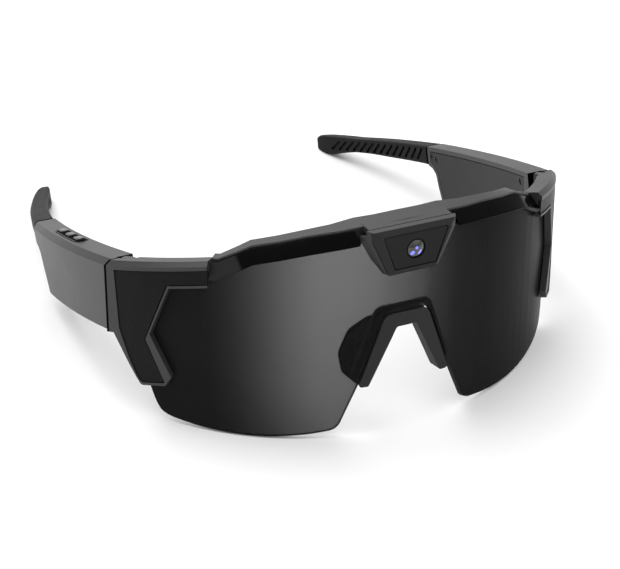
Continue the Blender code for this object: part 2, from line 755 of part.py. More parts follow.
def battery():
    """The flat cell in the left temple, with rounded long edges."""
    outline = rounded([(2.0, -5.2, 1.2), (5.9, -5.2, 1.2), (5.9, -18.8, 1.2), (2.0, -18.8, 1.2)])
    return bend_temple(prism(outline, "y", 13, 57))


# ---------------------------------------------------------------- right temple's controls

BUTTON_ACROSS = 3.25
BUTTON_PLACES = (32.4, 39.7, 47.0)
BUTTON_LENGTH = 5.9
BUTTON_WIDTH = 3.2
BUTTON_PROUD = 0.75


def pill(y, length, width, across=BUTTON_ACROSS, radius=None):
    """An outline with rounded ends on the temple's top, as (across, along)."""
    half = width / 2
    turn = radius or half * 0.98
    return rounded([(across - half, y - length / 2, turn), (across + half, y - length / 2, turn),
                    (across + half, y + length / 2, turn), (across - half, y + length / 2, turn)])


def button_bezel():
    """The dark oval insert that the three buttons stand in."""
    bezel = prism(pill(BUTTON_PLACES[1], 22.0, 4.5), "z", -1.35, 0.12)
    for y in BUTTON_PLACES:
        bezel = cut(bezel, prism(pill(y, BUTTON_LENGTH + 0.5, BUTTON_WIDTH + 0.5, radius=1.2),
                                 "z", -3, 3))
    return bend_temple(bezel)


def button(y):
    """One push button with its retaining flange."""
    cap = prism(pill(y, BUTTON_LENGTH, BUTTON_WIDTH, radius=1.0), "z", -2.2, BUTTON_PROUD)
    chamfer(cap, 0.35, lambda middle, along: middle.z > BUTTON_PROUD - 0.01)
    flange = prism(pill(y, BUTTON_LENGTH + 1.0, BUTTON_WIDTH + 0.3, radius=1.0), "z", -2.4, -1.75)
    return bend_temple(join(cap, flange), 20)


def main_board():
    """The control board, with a switch under each button and two chips."""
    board = box((2.4, 12.5, -18.6), (3.4, 56, -4.6))
    for y in BUTTON_PLACES:
        board = join(board, box((1.9, y - 1.6, -6.0), (4.2, y + 1.6, -3.45)))
    board = join(board, box((3.2, 20, -14), (4.4, 29, -8)), box((3.2, 34, -15), (4.6, 46, -8)))
    return bend_temple(board)


def charge_port():
    """The charging socket's metal sleeve, open downwards."""
    sleeve = prism(pill(24, 8.9, 3.1, across=3.6), "z", -21.1, -19.2)
    sleeve = cut(sleeve, prism(pill(24, 8.3, 2.5, across=3.6), "z", -22, -19.7))
    return bend_temple(sleeve)


# ---------------------------------------------------------------- assembly


def clear_scene():
    """Removes what the file starts with."""
    for item in list(bpy.data.objects):
        bpy.data.objects.remove(item)


def build_temple(side, hinge, group, finishes):
    """Builds the pieces that both temples share; the right side mirrors the left."""
    shell = temple_shell()
    if side == "right":
        shell = open_right_shell(shell)
    pieces = [("temple_shell", shell, "satin"), ("temple_cover", temple_cover(), "inner"),
              ("temple_tip", temple_tip(), "rubber"), ("tip_core", tip_core(), "inner")]
    for name, solid, finish in pieces:
        publish(f"{name}_{side}", for_side(solid, side), finishes[finish], hinge, group)
    for number, place in enumerate(SCREW_PLACES, 1):
        screw = for_side(cover_screw(*place), side)
        publish(f"cover_screw_{side}_{number}", screw, finishes["steel"], hinge, group)


def open_right_shell(shell):
    """Cuts the openings for the buttons and the charging socket."""
    holes = [prism(pill(BUTTON_PLACES[1], 22.5, 5.0), "z", -4, 3),
             prism(pill(24, 9.4, 3.6, across=3.6), "z", -26, -18)]
    for hole in holes:
        bend_temple(hole)
    return cut(shell, *holes)


def build_controls(hinge, group, finishes):
    """Builds what only the right temple has."""
    pieces = [("button_bezel", button_bezel(), "gloss"), ("main_board", main_board(), "board"),
              ("charge_port", charge_port(), "steel")]
    for name, solid, finish in pieces:
        publish(name, for_side(solid, "right"), finishes[finish], hinge, group)
    for number, y in enumerate(BUTTON_PLACES, 1):
        centre = (HINGE_X - temple_inner(y) - BUTTON_ACROSS, y - HINGE_Y, 0)
        cap = for_side(button(y), "right")
        publish(f"button_{number}", cap, finishes["rubber"], hinge, group, centre)


def build():
    """Builds the glasses in a collection of their own."""
    clear_scene()
    group = bpy.data.collections.new("camera_glasses")
    bpy.context.scene.collection.children.link(group)
    finishes = {
        "satin": material("satin_plastic", (0.035, 0.035, 0.037), 0.42),
        "inner": material("inner_plastic", (0.028, 0.028, 0.03), 0.5),
        "gloss": material("gloss_plastic", (0.006, 0.006, 0.007), 0.12),
        "rubber": material("rubber", (0.018, 0.018, 0.019), 0.65),
        "smoke": material("smoke_lens", (0.02, 0.02, 0.022), 0.08, alpha=0.85),
        "glass": material("camera_glass", (0.03, 0.03, 0.08), 0.03),
        "steel": material("dark_steel", (0.12, 0.12, 0.125), 0.35, 1.0),
        "board": material("circuit_board", (0.01, 0.12, 0.05), 0.5),
        "cell": material("cell_wrap", (0.35, 0.36, 0.38), 0.35),
    }
    rest_turn = (math.radians(REST_TILT), 0, 0)
    rest = empty("rest", None, (0, REST_BACK, REST_LIFT), rest_turn, group)

    publish("shield_lens", shield_lens(), finishes["smoke"], rest, group)
    publish("brow_frame", brow_frame(), finishes["satin"], rest, group)
    publish("brow_rear_cover", brow_rear_cover(), finishes["inner"], rest, group)
    publish("camera_flex", camera_flex(), finishes["board"], rest, group)
    publish("camera_bezel", camera_bezel(), finishes["satin"], rest, group)
    publish("camera_faceplate", camera_faceplate(), finishes["gloss"], rest, group)
    publish("camera_housing", camera_housing(), finishes["inner"], rest, group)
    publish("camera_barrel", camera_barrel(), finishes["inner"], rest, group)
    publish("camera_glass", camera_glass(), finishes["glass"], rest, group)
    publish("camera_board", camera_board(), finishes["board"], rest, group)
    publish("nose_bracket", nose_bracket(), finishes["inner"], rest, group)
    publish("nose_pad", nose_pad(), finishes["rubber"], rest, group)

    for side, sign in (("left", 1), ("right", -1)):
        pieces = [("brow_band", brow_band(), "gloss"), ("side_frame", side_frame(), "satin"),
                  ("side_panel", side_panel(), "gloss")]
        for name, solid, finish in pieces:
            publish(f"{name}_{side}", for_side(solid, side), finishes[finish], rest, group)
        place = (sign * HINGE_X, HINGE_Y, HINGE_Z)
        hinge = empty(f"hinge_{side}", rest, place, (-SLOPE_ANGLE, 0, 0), group)
        publish(f"hinge_pin_{side}", hinge_pin(), finishes["steel"], hinge, group)
        build_temple(side, hinge, group, finishes)
        if side == "right":
            build_controls(hinge, group, finishes)
        else:
            publish("battery", battery(), finishes["cell"], hinge, group)


build()
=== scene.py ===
# Camera sports glasses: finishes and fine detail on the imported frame.
import json
import math

import bmesh
import bpy
from mathutils import Matrix, Vector
from mathutils.bvhtree import BVHTree

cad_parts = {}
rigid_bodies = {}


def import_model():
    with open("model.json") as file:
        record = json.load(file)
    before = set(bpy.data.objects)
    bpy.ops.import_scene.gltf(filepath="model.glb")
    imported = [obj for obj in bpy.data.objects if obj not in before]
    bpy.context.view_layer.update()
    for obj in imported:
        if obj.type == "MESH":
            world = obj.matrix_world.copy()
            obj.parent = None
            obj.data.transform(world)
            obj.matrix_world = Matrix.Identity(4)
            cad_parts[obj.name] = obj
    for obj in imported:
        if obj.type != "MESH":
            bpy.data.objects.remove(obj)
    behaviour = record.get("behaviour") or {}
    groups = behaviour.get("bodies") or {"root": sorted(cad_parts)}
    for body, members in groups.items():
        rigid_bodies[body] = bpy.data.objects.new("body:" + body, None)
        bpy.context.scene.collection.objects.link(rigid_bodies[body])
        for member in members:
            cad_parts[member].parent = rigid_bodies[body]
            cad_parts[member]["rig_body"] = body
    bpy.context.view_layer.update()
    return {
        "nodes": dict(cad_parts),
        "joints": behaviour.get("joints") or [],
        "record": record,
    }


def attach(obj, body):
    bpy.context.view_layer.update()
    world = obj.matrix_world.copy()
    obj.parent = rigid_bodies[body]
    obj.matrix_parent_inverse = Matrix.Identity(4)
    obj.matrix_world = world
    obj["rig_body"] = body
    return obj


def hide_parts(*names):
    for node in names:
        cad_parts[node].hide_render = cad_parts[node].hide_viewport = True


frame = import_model()
nodes = frame["nodes"]
joints = {joint["name"]: joint for joint in frame["joints"]}
mm = 0.001
print("frame loaded:", len(nodes), "nodes")

# The hinge pins give the glasses' own directions: the temples run square to them.
pinPlace = Vector(joints["fold_left"]["pos_m"])
pinAxis = Vector(joints["fold_left"]["axis"])
pinLean = math.atan2(pinAxis.y, pinAxis.z)
topFall = math.atan(0.245)               # how the tops fall towards the ears, on a level head
templeTurn = Matrix.Rotation(-pinLean, 4, "X")
templeAxes = {
    "left": Matrix.Translation(pinPlace) @ templeTurn,
    "right": Matrix.Translation((-pinPlace.x, pinPlace.y, pinPlace.z)) @ templeTurn,
}
seamToPin = Vector((67.8, -0.9, 0.2)) * mm
frontAxes = (
    Matrix.Translation(pinPlace)
    @ Matrix.Rotation(topFall - pinLean, 4, "X")
    @ Matrix.Translation(-seamToPin)
)


view = {
    "place": Vector((-242.28, -479.97, 247.0)) * mm,   # on the front's axes
    "aim": Vector((-9.883, 0, -21.67)) * mm,
    "lens": 116.4,
}


def setCamera():
    made = bpy.data.objects.new("camera", bpy.data.cameras.new("camera"))
    made.data.lens = view["lens"]
    made.data.sensor_width = 36
    made.data.clip_start = 0.01
    turn = (view["aim"] - view["place"]).to_track_quat("-Z", "Y").to_matrix().to_4x4()
    made.matrix_world = frontAxes @ Matrix.Translation(view["place"]) @ turn
    bpy.context.scene.collection.objects.link(made)
    bpy.context.scene.camera = made


studio = {
    "floorSize": 40.0,
    "floorColour": (0.93, 0.93, 0.93, 1),
    "keyPlace": (-0.35, 0.3, 1.2),
    "keySize": 0.9,
    "keyPower": 8.0,
    "fillPlace": (0.5, -0.7, 0.9),
    "fillSize": 1.2,
    "fillPower": 1.4,
    "backPlace": (0.15, 1.05, 0.62),
    "backSize": 0.9,
    "backPower": 3.0,
    "skyTop": 1.0,
    "skyLow": 0.45,
}


def setStudio():
    shape = bmesh.new()
    bmesh.ops.create_grid(shape, x_segments=2, y_segments=2, size=studio["floorSize"] / 2)
    mesh = bpy.data.meshes.new("floor")
    shape.to_mesh(mesh)
    shape.free()
    floor = bpy.data.objects.new("floor", mesh)
    bpy.context.scene.collection.objects.link(floor)
    paper = Finish("paper", {"Roughness": 0.9, "Specular IOR Level": 0.0})
    fibre = paper.noise(180, 3)
    paper.feed("Base Color", paper.blend(fibre, (0.92, 0.92, 0.92, 1), studio["floorColour"]))
    mesh.materials.append(paper.material)
    for name in ("key", "fill", "back"):
        light = bpy.data.lights.new(name, "AREA")
        light.size = studio[name + "Size"]
        light.energy = studio[name + "Power"]
        lamp = bpy.data.objects.new(name, light)
        place = Vector(studio[name + "Place"])
        lamp.matrix_world = (
            Matrix.Translation(place) @ (-place).to_track_quat("-Z", "Y").to_matrix().to_4x4())
        bpy.context.scene.collection.objects.link(lamp)
    sky = bpy.data.worlds.new("studio")
    sky.use_nodes = True
    tree = sky.node_tree
    ramp = tree.nodes.new("ShaderNodeValToRGB")
    low, high = studio["skyLow"], studio["skyTop"]
    ramp.color_ramp.interpolation = "EASE"
    ramp.color_ramp.elements[0].color = (low, low, low, 1)
    ramp.color_ramp.elements[0].position = 0.42
    ramp.color_ramp.elements[1].color = (high, high, high, 1)
    ramp.color_ramp.elements[1].position = 0.95
    split = tree.nodes.new("ShaderNodeSeparateXYZ")
    place = tree.nodes.new("ShaderNodeTexCoord")
    half = tree.nodes.new("ShaderNodeMapRange")
    half.inputs["From Min"].default_value = -1
    tree.links.new(place.outputs["Generated"], split.inputs[0])
    tree.links.new(split.outputs["Z"], half.inputs["Value"])
    tree.links.new(half.outputs[0], ramp.inputs[0])
    tree.links.new(ramp.outputs[0], tree.nodes["Background"].inputs["Color"])
    bpy.context.scene.world = sky
    bpy.context.scene.view_settings.view_transform = "Standard"


class Wire:
    # a socket that can stand in a sum
    def __init__(self, finish, socket):
        self.finish = finish
        self.socket = socket

    def sum(self, operation, first, second):
        return self.finish.node("ShaderNodeMath", {"operation": operation}, {0: first, 1: second})

    def __add__(self, other):
        return self.sum("ADD", self, other)

    def __radd__(self, other):
        return self.sum("ADD", other, self)

    def __sub__(self, other):
        return self.sum("SUBTRACT", self, other)

    def __rsub__(self, other):
        return self.sum("SUBTRACT", other, self)

    def __mul__(self, other):
        return self.sum("MULTIPLY", self, other)

    def __rmul__(self, other):
        return self.sum("MULTIPLY", other, self)

    def __pow__(self, other):
        return self.sum("POWER", self, other)


class Finish:
    # a Principled material and the nodes that feed it
    def __init__(self, name, constants):
        self.material = bpy.data.materials.new(name)
        self.material.use_nodes = True
        self.tree = self.material.node_tree
        self.shader = self.tree.nodes["Principled BSDF"]
        for socket, value in constants.items():
            self.shader.inputs[socket].default_value = value
        self.place = self.node("ShaderNodeTexCoord", output="Object")

    def node(self, kind, settings=None, sockets=None, output=0):
        made = self.tree.nodes.new(kind)
        for key, value in (settings or {}).items():
            if key == "stops":
                stops = made.color_ramp.elements
                for stop, (place, colour) in zip(stops, (value[0], value[-1])):
                    stop.position = place
                    stop.color = colour
                for place, colour in value[1:-1]:
                    stops.new(place).color = colour
            else:
                setattr(made, key, value)
        for key, value in (sockets or {}).items():
            if isinstance(value, Wire):
                self.tree.links.new(value.socket, made.inputs[key])
            else:
                made.inputs[key].default_value = value
        return Wire(self, made.outputs[output])

    def noise(self, scale, detail=3.0, rough=0.55, twist=0.0, place=None):
        sockets = {"Vector": place or self.place, "Scale": scale, "Detail": detail,
                   "Roughness": rough, "Distortion": twist}
        return self.node("ShaderNodeTexNoise", {}, sockets, "Fac")

    def stretched(self, scale):
        return self.node("ShaderNodeMapping", {}, {"Vector": self.place, "Scale": scale})

    def ranged(self, value, low, high, out=(0.0, 1.0)):
        sockets = {"Value": value, "From Min": low, "From Max": high,
                   "To Min": out[0], "To Max": out[1]}
        return self.node("ShaderNodeMapRange", {"interpolation_type": "SMOOTHSTEP"}, sockets)

    def blend(self, mask, first, second):
        return self.node("ShaderNodeMix", {"data_type": "RGBA"}, {0: mask, 6: first, 7: second}, 2)

    def across(self):
        # distance from the glasses' middle plane
        side = self.node("ShaderNodeSeparateXYZ", {}, {0: self.place}, "X")
        return side.sum("ABSOLUTE", side, 0.0)

    def near(self, point, radius):
        # 1 close to a point, fading to 0 at the radius
        gap = self.node("ShaderNodeVectorMath", {"operation": "DISTANCE"},
                        {0: self.place, 1: point}, "Value")
        return 1 - self.ranged(gap, radius * 0.55, radius)

    def bump(self, height, depth, strength=1.0):
        return self.node("ShaderNodeBump", {}, {"Height": height, "Distance": depth,
                                                "Strength": strength}, "Normal")

    def feed(self, socket, value):
        self.tree.links.new(value.socket, self.shader.inputs[socket])


def grey(value, warmth=0.0):
    return (value * (1 + warmth), value, value * (1 - warmth), 1)


satinLook = {"dark": 0.022, "light": 0.032, "roughness": 0.42, "grain": 4200, "gloss": 0.34}


def mouldedFinish(name, look):
    # fine spark-eroded grain, handled patches and a few pale dust specks
    made = Finish(name, {"Specular IOR Level": look["gloss"], "IOR": 1.5})
    grain = made.noise(look["grain"], 4, 0.6)
    handled = made.noise(55, 5, 0.6, 0.4)
    flow = made.noise(9, 2, 0.5, 1.2)
    specks = made.ranged(made.noise(1500, 2, 0.5), 0.71, 0.76)
    worn = handled * 0.55 + flow * 0.3 + grain * 0.15
    shade = made.blend(made.ranged(worn, 0.3, 0.7), grey(look["dark"]), grey(look["light"]))
    made.feed("Base Color", made.blend(specks * 0.25, shade, grey(0.12)))
    made.feed("Roughness", handled * 0.16 + grain * 0.1 + (look["roughness"] - 0.13))
    made.feed("Normal", made.bump(grain + flow * 0.5, 0.000012, 0.5))
    return made.material


glossLook = {
    "colour": 0.0012,
    "roughness": 0.12,
    "gloss": 0.03,
    # painted reflection: the grey painted on the right strip's outer end, and where it starts and
    # is whole
    "paintedReflection": 0.02,
    "paintedReflectionFrom": 0.0452,      # distance from the middle plane, in metres
    "paintedReflectionWhole": 0.0462,
}


def polishedFinish(name, look):
    # polished black with wiping marks and faint hairlines, and where asked a painted reflection
    made = Finish(name, {"Specular IOR Level": look["gloss"], "IOR": 1.5})
    smear = made.noise(70, 4, 0.55, 0.8)
    hair = made.noise(1, 3, 0.6, 0.0, made.stretched((260, 2600, 900)))
    lines = made.ranged(hair, 0.62, 0.7)
    shade = made.blend(smear, grey(look["colour"]), grey(look["colour"] * 1.9))
    if "paintedReflection" in look:
        side = made.node("ShaderNodeSeparateXYZ", {}, {0: made.place}, "X")
        # painted reflection: only the right strip's outer end is painted a lighter grey, standing
        # in for a reflection on the gloss
        reflectionMask = made.ranged(side * -1, look["paintedReflectionFrom"], look["paintedReflectionWhole"])
        shade = made.blend(reflectionMask, shade, grey(look["paintedReflection"]))
    made.feed("Base Color", shade)
    made.feed("Roughness", smear * 0.12 + lines * 0.05 + (look["roughness"] - 0.03))
    made.feed("Normal", made.bump(lines + smear * 0.6, 0.000003, 0.4))
    return made.material


rubberLook = {"dark": 0.003, "light": 0.0065, "roughness": 0.6, "gloss": 0.18}


def rubberFinish(name, look):
    # soft rubber: a fine open grain, scuffs and skin marks
    made = Finish(name, {"Specular IOR Level": look["gloss"], "IOR": 1.5})
    pores = made.node("ShaderNodeTexVoronoi", {"feature": "SMOOTH_F1"},
                      {"Vector": made.place, "Scale": 3200.0}, "Distance")
    grain = made.noise(2600, 4, 0.65)
    scuff = made.noise(120, 5, 0.7, 0.6)
    shade = made.blend(made.ranged(scuff * 0.7 + grain * 0.3, 0.3, 0.75),
                       grey(look["dark"]), grey(look["light"], 0.02))
    made.feed("Base Color", shade)
    made.feed("Roughness", scuff * 0.2 + pores * 0.1 + (look["roughness"] - 0.14))
    made.feed("Normal", made.bump(pores * 0.5 + grain, 0.00002, 0.6))
    return made.material


lensLook = {
    "tint": 0.008,
    "clear": 0.64,
    "side": 0.33,            # opacity added towards each end: painted shade
    "sideShadeFrom": 0.022,
    "sideShadeWhole": 0.06,
    "edge": 0.3,
    "roughness": 0.32,
    "gloss": 0.02,
}


def tintedFinish(name, look):
    # smoke-tinted lens, clearer where looked through squarely, with haze; it is also clearer at
    # its middle, because painted shade makes it more opaque towards each end
    made = Finish(name, {"Specular IOR Level": look["gloss"], "IOR": 1.5})
    facing = made.node("ShaderNodeLayerWeight", {}, {"Blend": 0.5}, "Facing")
    haze = made.noise(38, 4, 0.55, 0.7)
    dust = made.ranged(made.noise(900, 3, 0.6), 0.66, 0.74)
    made.feed("Base Color", made.blend(haze, grey(look["tint"]), grey(look["tint"] * 1.5)))
    # painted shade: more opaque towards each end, standing in for the shade seen through the lens
    sideShade = made.ranged(made.across(), look["sideShadeFrom"], look["sideShadeWhole"])
    edge = made.ranged(facing, 0.12, 0.4)
    made.feed("Alpha", sideShade * look["side"] + edge * look["edge"] + look["clear"])
    made.feed("Roughness", haze * 0.05 + dust * 0.05 + (look["roughness"] - 0.03))
    made.feed("Normal", made.bump(dust + haze * 0.3, 0.000002, 0.3))
    return made.material


optics = {
    "height": 8.3,          # the lens's middle, on the front's axes
    "domeRadius": 2.5,
    "domeFront": -47.2,
    "domeRise": 0.86,
}


# painted reflections: the violet glint marks on the camera glass, how much they glow, and where
# they sit
paintedGlintLook = {
    "colour": (0.16, 0.17, 0.95, 1),
    "paintedGlow": 0.75,
    "spots": ((-0.15, 0.5, 0.62), (-1.15, -0.75, 0.62), (-1.45, -1.2, 0.7),
              (1.05, -0.75, 0.6), (0.75, -1.3, 0.62)),     # across, up, radius
}


def paintedGlintFinish(name, look):
    # dark optical glass with painted reflections: violet glint marks drawn in as colour and glow,
    # standing in for reflections off its coated elements
    made = Finish(name, {"IOR": 1.6, "Coat Weight": 0.5, "Coat Roughness": 0.12,
                         "Emission Strength": look["paintedGlow"]})
    film = made.noise(900, 3, 0.5, 0.5)
    # painted reflections: violet marks at fixed points on the glass, in base colour and emission
    paintedGlints = 0.0
    for across, up, radius in look["spots"]:
        point = frontAxes @ (Vector((across, optics["domeFront"] + 0.3,
                                     optics["height"] + up)) * mm)
        paintedGlints = made.near(tuple(point), radius * mm) + paintedGlints
    paintedGlints = made.ranged(paintedGlints * (film * 0.4 + 0.8), 0.0, 1.0)
    made.feed("Base Color", made.blend(paintedGlints, grey(0.012, 0.1), look["colour"]))
    made.feed("Emission Color", made.blend(paintedGlints, (0, 0, 0, 1), look["colour"]))
    made.feed("Roughness", film * 0.05 + 0.1)
    return made.material


def metalFinish(name, dark, light, roughness):
    # blackened steel with turning marks and rubbed spots
    made = Finish(name, {"Metallic": 1.0})
    turned = made.noise(1, 3, 0.6, 0.0, made.stretched((900, 900, 9000)))
    rubbed = made.ranged(made.noise(900, 4, 0.6), 0.5, 0.72)
    made.feed("Base Color", made.blend(rubbed, grey(dark), grey(light, 0.02)))
    made.feed("Roughness", turned * 0.2 + (roughness - 0.1))
    made.feed("Normal", made.bump(turned, 0.000006, 0.5))
    return made.material


def boardFinish(name):
    # solder mask over copper tracks, with bare pads
    made = Finish(name, {"Specular IOR Level": 0.5})
    tracks = made.node("ShaderNodeTexBrick", {"offset": 0.5}, {
        "Vector": made.place, "Scale": 420.0, "Mortar Size": 0.08}, "Fac")
    pads = made.ranged(made.noise(900, 2), 0.66, 0.7)
    mask = made.blend(tracks, (0.004, 0.045, 0.018, 1), (0.008, 0.09, 0.035, 1))
    made.feed("Base Color", made.blend(pads, mask, (0.5, 0.36, 0.16, 1)))
    made.feed("Roughness", made.noise(500) * 0.3 + 0.2)
    made.feed("Normal", made.bump(tracks + pads, 0.00002, 0.5))
    return made.material


def foilFinish(name):
    # the cell's silvery wrap, slightly crinkled
    made = Finish(name, {"Metallic": 0.85})
    crinkle = made.noise(260, 5, 0.65, 1.5)
    made.feed("Base Color", made.blend(crinkle, grey(0.3), grey(0.48)))
    made.feed("Roughness", crinkle * 0.25 + 0.25)
    made.feed("Normal", made.bump(crinkle, 0.0001, 0.6))
    return made.material


padLook = {"ridges": (-35.2, -33.7), "width": 0.3}     # on the front's axes


def padFinish(name, look):
    # the nose rubber, with two fine moulded lines along each wing, sunk in and painted near black
    # as painted shade
    made = Finish(name, {"Specular IOR Level": 0.25})
    behind = frontAxes.to_3x3() @ Vector((0, 1, 0))
    start = behind.dot(frontAxes.translation)
    along = made.node("ShaderNodeVectorMath", {"operation": "DOT_PRODUCT"},
                      {0: made.place, 1: tuple(behind)}, "Value") - start
    lines = 0.0
    for place in look["ridges"]:
        off = made.node("ShaderNodeMath", {"operation": "ABSOLUTE"}, {0: along - place * mm})
        lines = (1 - made.ranged(off, look["width"] * 0.3 * mm, look["width"] * mm)) + lines
    grain = made.noise(2800, 4, 0.6)
    scuff = made.noise(140, 4, 0.6, 0.5)
    shade = made.blend(scuff, grey(0.011), grey(0.018))
    # painted shade: the sunken lines are painted near black
    made.feed("Base Color", made.blend(lines * 0.9, shade, grey(0.002)))
    made.feed("Roughness", scuff * 0.15 + grain * 0.1 + 0.5)
    made.feed("Normal", made.bump(grain * 0.04 - lines, 0.00025, 1.0))
    return made.material


setCamera()
setStudio()
print("camera, floor and lights set")

finishes = {
    "satin_plastic": mouldedFinish("satinPlastic", satinLook),
    "inner_plastic": mouldedFinish("innerPlastic", {
        "dark": 0.009, "light": 0.015, "roughness": 0.48, "grain": 3600, "gloss": 0.25}),
    "gloss_plastic": polishedFinish("glossPlastic", glossLook),
    "rubber": rubberFinish("rubber", rubberLook),
    "smoke_lens": tintedFinish("smokeLens", lensLook),
    "camera_glass": paintedGlintFinish("cameraGlass", paintedGlintLook),
    "dark_steel": metalFinish("darkSteel", 0.05, 0.16, 0.34),
    "circuit_board": boardFinish("circuitBoard"),
    "cell_wrap": foilFinish("cellWrap"),
}
faceplateFinish = mouldedFinish("plateBlack", {
    "dark": 0.006, "light": 0.01, "roughness": 0.36, "grain": 5200, "gloss": 0.15})
# painted shade: a darker copy of the satin, for the camera ring's front and sides
bezelShadedFinish = mouldedFinish("bezelShadedBlack", {
    "dark": 0.009, "light": 0.013, "roughness": 0.42, "grain": 4600, "gloss": 0.2})
# painted shade: near black standing in for the shadow in and beside seams
seamShadePaint = rubberFinish("seamShade", {
    "dark": 0.001, "light": 0.002, "roughness": 0.8, "gloss": 0.02})
capFinish = polishedFinish("buttonCap", {"colour": 0.002, "roughness": 0.24, "gloss": 0.26})
panelFinish = mouldedFinish("panelBlack", {
    "dark": 0.005, "light": 0.009, "roughness": 0.42, "grain": 5000, "gloss": 0.08})
slotOf = {part["node"]: part["material_slot"] for part in frame["record"]["subparts"]}
print("finishes made:", len(bpy.data.materials))


def dressNodes():
    for name, node in nodes.items():
        for slot in node.material_slots:
            slot.material = finishes[slotOf[name]]


dressNodes()


def nodeShape(name):
    # a clean copy of a node: its triangles joined up, its flat faces whole
    shape = bmesh.new()
    shape.from_mesh(nodes[name].data)
    bmesh.ops.remove_doubles(shape, verts=shape.verts, dist=0.000004)
    bmesh.ops.dissolve_limit(
        shape, angle_limit=math.radians(0.8), verts=shape.verts, edges=shape.edges)
    return shape


def softenEdges(shape, width, segments=2, limit=24):
    sharp = [edge for edge in shape.edges
             if edge.is_manifold and edge.calc_face_angle(0) > math.radians(limit)]
    bmesh.ops.bevel(
        shape, geom=sharp, offset=width, offset_type="OFFSET", segments=segments,
        profile=0.5, affect="EDGES", clamp_overlap=True, material=-1)


def evenNormals(mesh, limit=50):
    # broad faces keep their own direction and the narrow edge strips turn between them
    around = [[] for _ in mesh.vertices]
    for face in mesh.polygons:
        for index in face.vertices:
            around[index].append(face)
    least = math.cos(math.radians(limit))
    normals = []
    for face in mesh.polygons:
        for index in face.vertices:
            total = Vector()
            for other in around[index]:
                if face.normal.dot(other.normal) > least:
                    total += other.normal * other.area
            normals.append(total.normalized())
    mesh.shade_smooth()
    mesh.normals_split_custom_set(normals)


def placePiece(name, shape, finish, body, standsFor=(), second=None):
    mesh = bpy.data.meshes.new(name)
    shape.to_mesh(mesh)
    shape.free()
    mesh.materials.append(finish)
    if second:
        mesh.materials.append(second)
    evenNormals(mesh)
    piece = bpy.data.objects.new(name, mesh)
    bpy.context.scene.collection.objects.link(piece)
    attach(piece, body)
    if standsFor:
        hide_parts(*standsFor)
    return piece


def shiftFace(shape, place, target):
    # moves the flat face that lies square to the length, at a distance along it
    for vert in shape.verts:
        if abs(vert.co.y - place) < 0.00003:
            vert.co.y = target


edgeSoftness = {       # node: edge radius in millimetres
    "shield_lens": 0.22,
    "brow_frame": 0.2,
    "brow_rear_cover": 0.25,
    "brow_band_left": 0.18,
    "brow_band_right": 0.18,
    "side_frame_left": 0.2,
    "side_frame_right": 0.2,
    "side_panel_left": 0.15,
    "side_panel_right": 0.15,
    "nose_bracket": 0.25,
    "nose_pad": 0.45,
    "temple_shell_left": 0.2,
    "temple_shell_right": 0.2,
    "temple_cover_left": 0.2,
    "temple_cover_right": 0.2,
    "button_bezel": 0.15,
    "button_1": 0.4,
    "button_2": 0.4,
    "button_3": 0.4,
}


ownFinishes = {
    "button_1": capFinish,
    "button_2": capFinish,
    "button_3": capFinish,
    "nose_pad": padFinish("noseRubber", padLook),
    "side_panel_left": panelFinish,
    "side_panel_right": panelFinish,
}


hingeSeam = {"gap": 0.2, "wider": 0.05, "band": 0.75}      # millimetres from the seam; the band is painted matt black as painted shade
buttonCaps = {"across": 0.84, "along": 0.88}                # share of the CAD cap that shows


def openSeam(shape, name):
    # shows the hinge seam: the side frame and the temple's shell each stand back a little
    way = {"side_frame": -1, "temple_shell": 1}.get(name.rpartition("_")[0])
    if way:
        bmesh.ops.transform(shape, matrix=frontAxes.inverted(), verts=shape.verts)
        place = way * hingeSeam["gap"] * mm
        shiftFace(shape, place, place + way * hingeSeam["wider"] * mm)
        bmesh.ops.transform(shape, matrix=frontAxes, verts=shape.verts)


def paintSeamShade(shape, axes, place, behind):
    # painted shade: the band beside a seam is painted matt black, standing in for the shadow in a
    # stepped seam; the surface itself isn't stepped
    back = axes.inverted()
    bmesh.ops.bisect_plane(
        shape, geom=shape.verts[:] + shape.edges[:] + shape.faces[:],
        plane_co=axes @ Vector((0, place * mm, 0)), plane_no=axes.to_3x3() @ Vector((0, 1, 0)),
        dist=0.000001)
    for face in shape.faces:
        along = (back @ face.calc_center_median()).y - place * mm
        if along * behind > 0:
            face.material_index = 1


def drawIn(shape):
    # a button's cap stands a little in from the edge of its opening
    low = Vector([min(vert.co[axis] for vert in shape.verts) for axis in range(3)])
    high = Vector([max(vert.co[axis] for vert in shape.verts) for axis in range(3)])
    middle = Matrix.Translation((low + high) / 2)
    share = Matrix.Diagonal((buttonCaps["across"], buttonCaps["along"], 1, 1))
    bmesh.ops.transform(shape, matrix=middle @ share @ middle.inverted(), verts=shape.verts)


def shadeEnd(shape, axes, reach):
    # painted shade: the face that looks forward out of a seam is painted matt black, standing in
    # for the seam's shadow
    away = axes.to_3x3() @ Vector((0, -1, 0))
    back = axes.inverted()
    front = min((back @ vert.co).y for vert in shape.verts)
    for face in shape.faces:
        near = (back @ face.calc_center_median()).y - front < reach * mm
        if near and face.normal.dot(away) > 0.9:
            face.material_index = 1


def softenNodes():
    for name, width in edgeSoftness.items():
        shape = nodeShape(name)
        openSeam(shape, name)
        if name in ("button_1", "button_2", "button_3"):
            drawIn(shape)
        softenEdges(shape, width * mm)
        if name.startswith("side_frame"):
            paintSeamShade(shape, frontAxes, -hingeSeam["gap"] - hingeSeam["band"], 1)
        if name.startswith("temple_shell"):
            shadeEnd(shape, frontAxes, 6)
        finish = ownFinishes.get(name, finishes[slotOf[name]])
        placePiece(name + "_soft", shape, finish, nodes[name]["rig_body"], [name],
                   seamShadePaint)


softenNodes()
print("edges softened:", len(edgeSoftness), "pieces")


cameraBlock = {
    "edge": 0.35,
    "seamFrom": -44.9,       # along the view, on the front's axes
    "seamWidth": 0.4,
    "seamDepth": 0.45,
    "middle": 8.0,           # heights
    "seamTop": 14.2,
    "plateEdge": 0.14,
}


